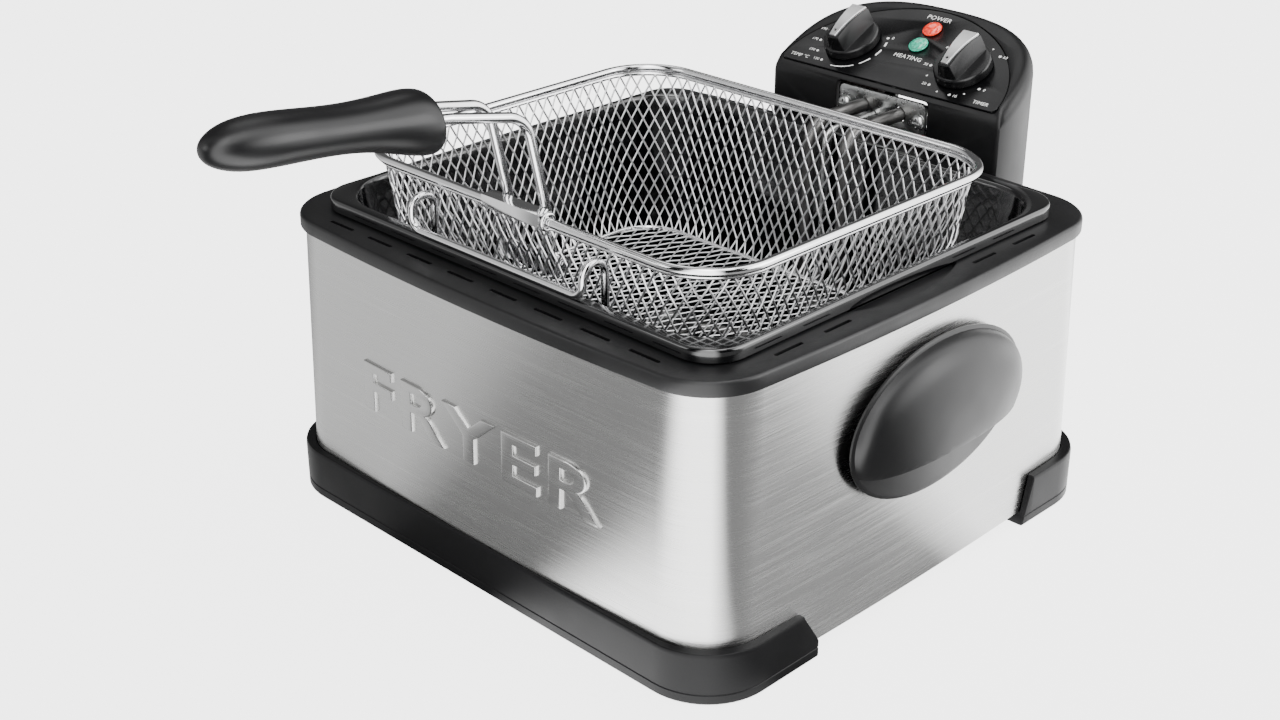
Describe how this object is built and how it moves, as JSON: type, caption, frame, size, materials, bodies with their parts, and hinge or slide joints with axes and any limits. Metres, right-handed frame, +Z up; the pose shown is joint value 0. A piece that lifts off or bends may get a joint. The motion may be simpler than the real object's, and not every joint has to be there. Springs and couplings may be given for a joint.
{
  "type": "deep fryer",
  "caption": "Countertop deep fryer: steel housing, lift-out enamel tank, rear control head with immersed element, and a front-hung wire basket with a folding handle.",
  "frame": {"origin": "centre of the bounding box's bottom face, on the surface the feet stand on", "axes": "+Z up, -Y towards the front where the basket handle points, +X to the right when seen from the front"},
  "size_m": [0.3074, 0.4377, 0.2362],
  "materials": {
    "brushed_steel": "brushed stainless steel",
    "chrome_wire": "bright plated wire",
    "element_steel": "dark oxidised tube",
    "brass": "plain",
    "black_enamel": "glossy enamel",
    "frame_plastic": "fine grained",
    "base_plastic": "fine grained",
    "head_plastic": "satin",
    "panel_gloss": "glossy with pale print",
    "knob_plastic": "satin",
    "knob_metal": "spun",
    "handle_plastic": "satin",
    "bakelite": "moulded",
    "rubber": "matte",
    "red_plastic": "clear tinted",
    "green_plastic": "clear tinted"
  },
  "bodies": {
    "housing": {"steel_shell": "brushed_steel", "bottom_plate": "base_plastic", "front_base_band": "base_plastic", "rear_base_band": "base_plastic", "rubber_foot_front_left": "rubber", "rubber_foot_front_right": "rubber", "rubber_foot_rear_left": "rubber", "rubber_foot_rear_right": "rubber", "top_frame": "frame_plastic", "rear_guide_plate": "base_plastic", "side_handle_left": "handle_plastic", "side_handle_right": "handle_plastic"},
    "tank": {"oil_tank": "black_enamel"},
    "head": {"head_casing": "head_plastic", "head_rear_cover": "head_plastic", "control_panel": "panel_gloss", "thermostat": "bakelite", "timer": "brushed_steel", "red_lens": "red_plastic", "green_lens": "green_plastic", "lamp_holder": "bakelite", "heater_plate": "brushed_steel", "heater_screw_left": "brushed_steel", "heater_screw_right": "brushed_steel", "plate_gasket": "rubber", "heating_element": "element_steel", "temperature_sensor": "brushed_steel", "sensor_clip": "brushed_steel", "terminal_block": "bakelite", "power_inlet": "bakelite", "inlet_pin_left": "brass", "inlet_pin_right": "brass", "thermal_cutout": "bakelite", "interlock_switch": "bakelite"},
    "temp_dial": {"temp_knob": "knob_plastic", "temp_knob_insert": "knob_metal", "temp_shaft": "brushed_steel"},
    "timer_dial": {"timer_knob": "knob_plastic", "timer_knob_insert": "knob_metal", "timer_shaft": "brushed_steel"},
    "reset": {"reset_button": "red_plastic"},
    "basket": {"basket_rim": "chrome_wire", "basket_mesh": "chrome_wire", "basket_hanger": "chrome_wire", "handle_bracket": "brushed_steel"},
    "handle": {"handle_wire": "chrome_wire", "handle_grip": "handle_plastic"}
  },
  "joints": [
    {"name": "tank_lift", "type": "slide", "parent": "housing", "child": "tank", "axis": [0, 0, 1], "range_m": [0, 0.13]},
    {"name": "head_lift", "type": "slide", "parent": "tank", "child": "head", "axis": [0, 0, 1], "range_m": [0, 0.13]},
    {"name": "basket_lift", "type": "slide", "parent": "head", "child": "basket", "axis": [0, 0, 1], "range_m": [0, 0.12]},
    {"name": "handle_fold", "type": "hinge", "parent": "basket", "child": "handle", "pos_m": [0, -0.0676, 0.1465], "axis": [-1, 0, 0], "range_deg": [0, 78]},
    {"name": "temp_turn", "type": "hinge", "parent": "head", "child": "temp_dial", "pos_m": [-0.0342, 0.18245, 0.17823], "axis": [0, -0.4695, 0.8829], "range_deg": [-120, 112]},
    {"name": "timer_turn", "type": "hinge", "parent": "head", "child": "timer_dial", "pos_m": [0.0342, 0.18245, 0.17823], "axis": [0, -0.4695, 0.8829], "range_deg": [-225, 45]},
    {"name": "reset_press", "type": "slide", "parent": "head", "child": "reset", "axis": [0, -1, 0], "range_m": [0, 0.0015], "stiffness_N_per_m": 400}
  ]
}
